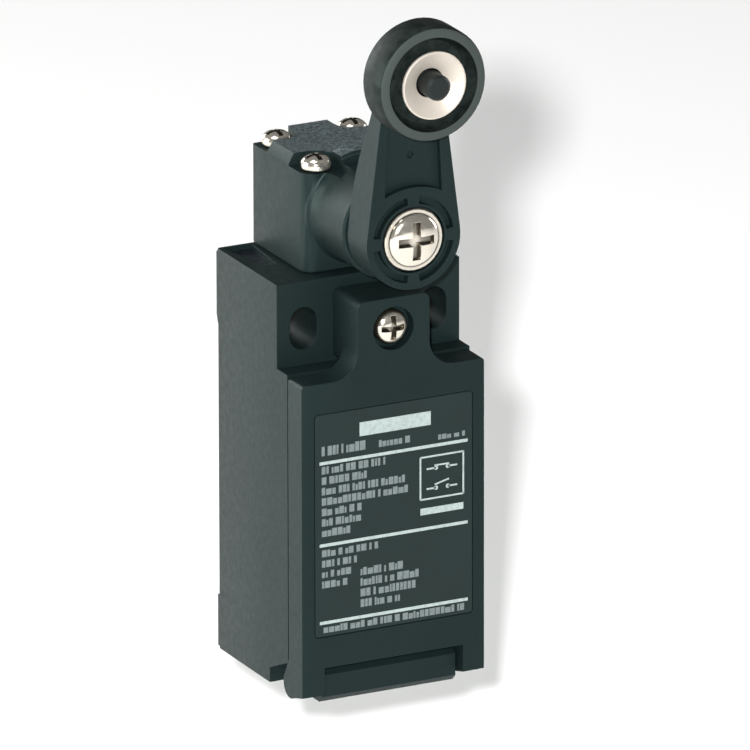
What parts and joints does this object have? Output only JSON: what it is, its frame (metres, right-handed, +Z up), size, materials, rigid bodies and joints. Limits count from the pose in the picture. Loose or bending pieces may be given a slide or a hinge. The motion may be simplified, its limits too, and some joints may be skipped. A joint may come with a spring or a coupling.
{
  "type": "limit switch",
  "caption": "Roller lever limit switch in a narrow plastic housing with a hinged front cover, bolted head and contact block.",
  "frame": {"origin": "midway between the two mounting slots, on the flat pad of the housing's back face", "axes": "+Z up along the housing towards the roller, front cover and roller face -Y, +Y is the outward normal of the back face, +X to the right seen from the front"},
  "size_m": [0.031, 0.0449, 0.1106],
  "materials": {
    "body_plastic": "dark green-grey moulding, fine satin grain",
    "roller_plastic": "charcoal moulding with a worn, slightly rough tread",
    "black_plastic": "satin black moulding",
    "seal_rubber": "matte black",
    "label_film": "dark printed film with pale grey rules and symbols",
    "bright_nickel": "bright warm nickel plate",
    "plated_steel": "plated, satin; mostly out of sight, so its finish is assumed",
    "brass": "machined; inside the object, so its metal is assumed"
  },
  "bodies": {
    "body": {"housing": "body_plastic", "head": "body_plastic", "cover_gasket": "seal_rubber", "cover_screw_insert": "brass", "head_gasket": "seal_rubber", "head_screw_1": "bright_nickel", "head_screw_2": "bright_nickel", "head_screw_3": "bright_nickel", "head_screw_4": "bright_nickel", "shaft_bush": "brass", "shaft_seal": "seal_rubber", "plunger_guide": "brass", "plunger_seal": "seal_rubber", "plunger_spring": "plated_steel", "switch_case": "black_plastic", "switch_back": "black_plastic", "carrier_spring": "plated_steel", "case_screw_left": "plated_steel", "case_screw_right": "plated_steel", "terminal_nc_left": "brass", "terminal_nc_right": "brass", "terminal_no_left": "brass", "terminal_no_right": "brass", "terminal_washer_nc_left": "plated_steel", "terminal_washer_nc_right": "plated_steel", "terminal_washer_no_left": "plated_steel", "terminal_washer_no_right": "plated_steel", "terminal_screw_nc_left": "plated_steel", "terminal_screw_nc_right": "plated_steel", "terminal_screw_no_left": "plated_steel", "terminal_screw_no_right": "plated_steel"},
    "cover": {"cover": "body_plastic", "label_plate": "label_film"},
    "cover_screw": {"cover_screw": "bright_nickel", "cover_screw_clip": "plated_steel"},
    "plunger": {"plunger": "plated_steel"},
    "carrier": {"contact_carrier": "black_plastic", "nc_bridge": "brass", "no_bridge": "brass"},
    "lever": {"shaft": "plated_steel", "cam": "black_plastic", "shaft_clip": "plated_steel", "lever": "body_plastic", "lever_washer": "black_plastic", "lever_screw": "bright_nickel", "roller_pin": "black_plastic", "roller_washer": "bright_nickel"},
    "roller": {"roller": "roller_plastic"}
  },
  "joints": [
    {"name": "lever_swing", "type": "hinge", "parent": "body", "child": "lever", "pos_m": [0, -0.03625, 0.017], "axis": [0, 1, 0], "range_deg": [-75, 75], "stiffness_Nm_per_rad": 0.12},
    {"name": "roller_spin", "type": "hinge", "parent": "lever", "child": "roller", "pos_m": [0, -0.043, 0.0434], "axis": [0, 1, 0], "continuous": true},
    {"name": "cover_opening", "type": "hinge", "parent": "body", "child": "cover", "pos_m": [0, -0.025, -0.0553], "axis": [1, 0, 0], "range_deg": [0, 110]},
    {"name": "cover_screw_slide", "type": "slide", "parent": "cover", "child": "cover_screw", "axis": [0, -1, 0], "range_m": [0, 0.0022]},
    {"name": "plunger_press", "type": "slide", "parent": "body", "child": "plunger", "axis": [0, 0, -1], "range_m": [0, 0.002], "stiffness_N_per_m": 500, "springref_m": -0.002, "deforming": ["plunger_spring"]},
    {"name": "carrier_slide", "type": "slide", "parent": "body", "child": "carrier", "axis": [0, 0, -1], "range_m": [0, 0.002], "deforming": ["carrier_spring"]}
  ],
  "couplings": [
    {"joint": "carrier_slide", "follows": "plunger_press", "ratio": 1}
  ]
}
